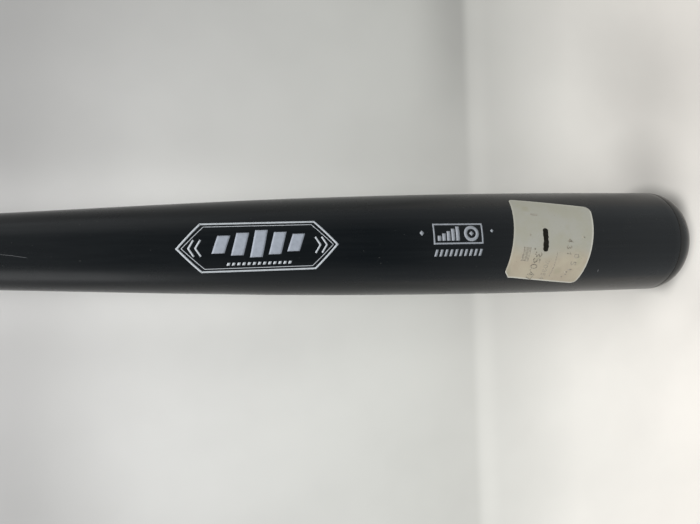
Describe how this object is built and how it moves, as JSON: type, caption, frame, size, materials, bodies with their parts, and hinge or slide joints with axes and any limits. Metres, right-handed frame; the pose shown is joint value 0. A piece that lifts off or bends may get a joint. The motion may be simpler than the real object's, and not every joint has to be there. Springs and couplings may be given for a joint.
{
  "type": "baseball bat",
  "caption": "Adult composite wood baseball bat: black lacquered ash-stave skin over fibre sleeves and a hollowed foam barrel core, with domed end cap, turned knob and a paper price label.",
  "frame": {"origin": "centre of the knob's flat end face, on the bat's axis", "axes": "+X runs along the bat's axis from the knob to the barrel's nose, +Z points out of the side of the barrel that carries the price label, and the bat lies on its -Z side"},
  "size_m": [0.8382, 0.0632, 0.0635],
  "materials": {
    "lacquered_ash": "black satin lacquer over straight-grained ash",
    "cap_plastic": "moulded black, finely scuffed",
    "core_foam": "rigid foam, matt",
    "core_rod": "bare dense wood",
    "bonded_fibre": "knitted fibre set in resin",
    "label_paper": "soiled matt paper with a faded print"
  },
  "bodies": {
    "root": {"barrel_core": "core_foam", "handle_core": "core_rod", "outer_fibre_sleeve": "bonded_fibre", "middle_fibre_sleeve": "bonded_fibre", "inner_fibre_sleeve": "bonded_fibre", "veneer_stave_01": "lacquered_ash", "veneer_stave_02": "lacquered_ash", "veneer_stave_03": "lacquered_ash", "veneer_stave_04": "lacquered_ash", "veneer_stave_05": "lacquered_ash", "veneer_stave_06": "lacquered_ash", "veneer_stave_07": "lacquered_ash", "veneer_stave_08": "lacquered_ash", "veneer_stave_09": "lacquered_ash", "veneer_stave_10": "lacquered_ash", "veneer_stave_11": "lacquered_ash", "veneer_stave_12": "lacquered_ash", "end_cap": "cap_plastic", "knob": "lacquered_ash", "price_label": "label_paper"}
  },
  "joints": []
}
